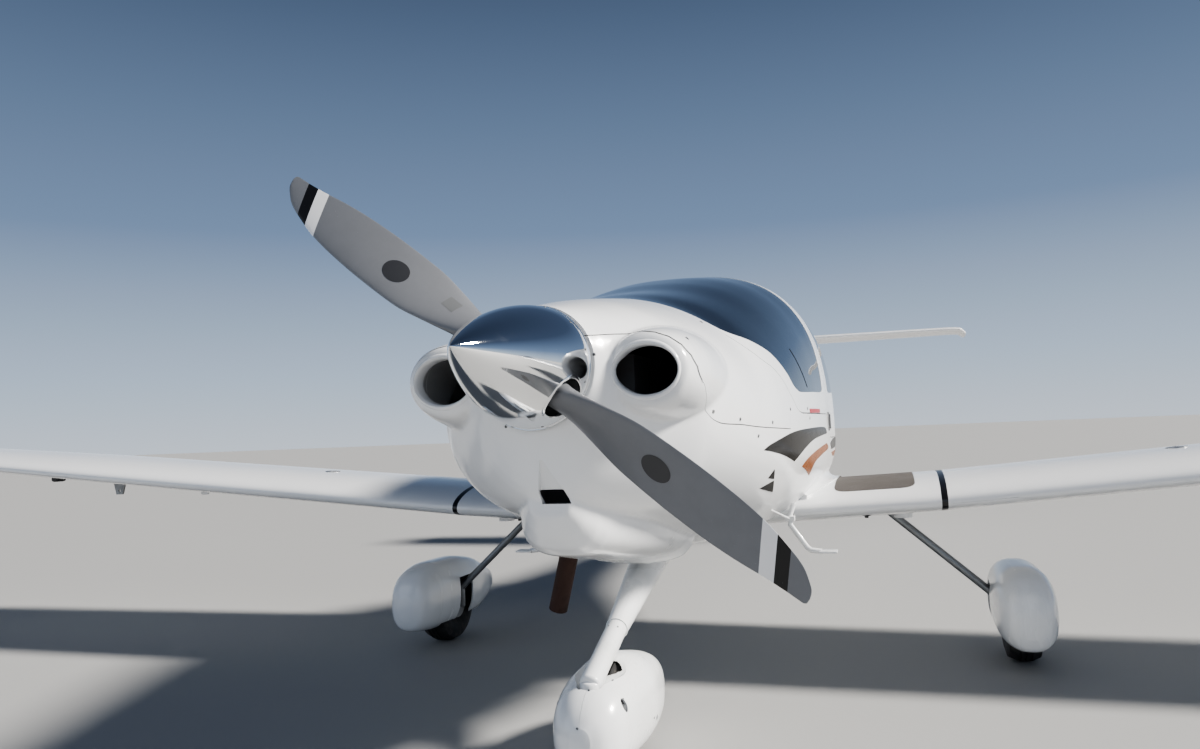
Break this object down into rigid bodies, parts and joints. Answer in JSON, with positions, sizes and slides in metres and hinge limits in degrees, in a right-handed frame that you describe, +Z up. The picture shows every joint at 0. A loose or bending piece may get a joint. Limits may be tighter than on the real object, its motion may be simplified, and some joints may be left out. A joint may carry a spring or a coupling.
{
  "type": "light aircraft",
  "caption": "Low-wing T-tailed light aircraft on fixed nose-wheel gear, with propeller, forward-hinged canopy, rear door, flaps, ailerons, elevator, rudder and castering nose wheel.",
  "frame": {"origin": "middle of the bounding box at ground level, under the tyres", "axes": "+X to port, +Y aft, +Z up"},
  "size_m": [11.947, 8.064, 1.9879],
  "materials": {
    "white_paint": "glossy white paint over composite skin",
    "white_enamel": "glossy white paint on steel tube",
    "tinted_glass": "dark tinted clear plastic glazing",
    "dark_trim": "matte dark trim",
    "seat_cover": "padded seat cover",
    "engine_metal": "cast metal block",
    "rusty_steel": "heat-stained exhaust steel",
    "polished_metal": "mirror polished spun metal",
    "alloy": "bare cast alloy",
    "blade_grey": "satin grey paint with black and white tip bands",
    "bare_steel": "bare and grey-painted steel",
    "tyre_rubber": "black tyre rubber"
  },
  "bodies": {
    "airframe": {"fuselage": "white_paint", "upper_cowl": "white_paint", "lower_cowl": "white_paint", "rear_window_glass": "tinted_glass", "instrument_panel": "dark_trim", "centre_console": "dark_trim", "seat_port": "seat_cover", "seat_starboard": "seat_cover", "rear_bench": "seat_cover", "engine_block": "engine_metal", "exhaust_pipe": "rusty_steel", "wing_port": "white_paint", "wing_starboard": "white_paint", "stabiliser": "white_paint", "ventral_fin": "white_paint", "nose_leg": "white_enamel", "main_strut_port": "bare_steel", "main_strut_starboard": "bare_steel", "main_axle_port": "bare_steel", "main_axle_starboard": "bare_steel", "main_fairing_port": "white_paint", "main_fairing_starboard": "white_paint", "foot_step_port": "white_enamel", "foot_step_starboard": "white_enamel"},
    "propeller": {"spinner": "polished_metal", "propeller_hub": "alloy", "propeller_blade_port": "blade_grey", "propeller_blade_starboard": "blade_grey"},
    "canopy": {"canopy_frame": "white_paint", "canopy_glass": "tinted_glass"},
    "rear_door": {"rear_door": "white_paint", "rear_door_glass": "tinted_glass"},
    "flap_port": {"flap_port": "white_paint"},
    "flap_starboard": {"flap_starboard": "white_paint"},
    "aileron_port": {"aileron_port": "white_paint"},
    "aileron_starboard": {"aileron_starboard": "white_paint"},
    "elevator": {"elevator": "white_paint"},
    "rudder": {"rudder": "white_paint"},
    "nose_caster": {"nose_fork": "bare_steel", "nose_fairing": "white_paint"},
    "nose_wheel": {"nose_wheel": "alloy", "nose_tyre": "tyre_rubber"},
    "main_wheel_port": {"main_wheel_port": "alloy", "main_tyre_port": "tyre_rubber"},
    "main_wheel_starboard": {"main_wheel_starboard": "alloy", "main_tyre_starboard": "tyre_rubber"}
  },
  "joints": [
    {"name": "propeller_spin", "type": "hinge", "parent": "airframe", "child": "propeller", "pos_m": [0, -3.62042, 1.3024], "axis": [0, -0.999, 0.0454], "continuous": true},
    {"name": "canopy_hinge", "type": "hinge", "parent": "airframe", "child": "canopy", "pos_m": [0, -3, 1.53], "axis": [1, 0, 0], "range_deg": [0, 48]},
    {"name": "rear_door_hinge", "type": "hinge", "parent": "airframe", "child": "rear_door", "pos_m": [0.1, -0.93, 1.854], "axis": [0, -0.995, 0.0995], "range_deg": [0, 80]},
    {"name": "flap_port_hinge", "type": "hinge", "parent": "airframe", "child": "flap_port", "pos_m": [1.165, -0.86148, 0.74522], "axis": [-0.9961, 0.0089, -0.0874], "range_deg": [0, 42]},
    {"name": "flap_starboard_hinge", "type": "hinge", "parent": "airframe", "child": "flap_starboard", "pos_m": [-1.165, -0.86148, 0.74522], "axis": [-0.9961, -0.0089, 0.0874], "range_deg": [0, 42]},
    {"name": "aileron_port_hinge", "type": "hinge", "parent": "airframe", "child": "aileron_port", "pos_m": [3.64, -0.83188, 0.99313], "axis": [-0.994, 0.0693, -0.0849], "range_deg": [-20, 20]},
    {"name": "aileron_starboard_hinge", "type": "hinge", "parent": "airframe", "child": "aileron_starboard", "pos_m": [-3.64, -0.83188, 0.99313], "axis": [-0.994, -0.0693, 0.0849], "range_deg": [-20, 20]},
    {"name": "elevator_hinge", "type": "hinge", "parent": "airframe", "child": "elevator", "pos_m": [0, 3.63, 1.953], "axis": [-1, 0, 0], "range_deg": [-15.5, 13]},
    {"name": "rudder_hinge", "type": "hinge", "parent": "airframe", "child": "rudder", "pos_m": [0, 3.49, 1.066], "axis": [0, 0.129, 0.9916], "range_deg": [-28, 28]},
    {"name": "nose_caster_swivel", "type": "hinge", "parent": "airframe", "child": "nose_caster", "pos_m": [0, -3.14, 0.3], "axis": [0, 0, 1], "range_deg": [-30, 30]},
    {"name": "nose_wheel_spin", "type": "hinge", "parent": "nose_caster", "child": "nose_wheel", "pos_m": [0, -2.93, 0.168], "axis": [1, 0, 0], "continuous": true},
    {"name": "main_wheel_port_spin", "type": "hinge", "parent": "airframe", "child": "main_wheel_port", "pos_m": [1.46, -1.33, 0.21], "axis": [1, 0, 0], "continuous": true},
    {"name": "main_wheel_starboard_spin", "type": "hinge", "parent": "airframe", "child": "main_wheel_starboard", "pos_m": [-1.46, -1.33, 0.21], "axis": [1, 0, 0], "continuous": true}
  ],
  "couplings": [
    {"joint": "flap_starboard_hinge", "follows": "flap_port_hinge", "ratio": 1},
    {"joint": "aileron_starboard_hinge", "follows": "aileron_port_hinge", "ratio": -1}
  ]
}
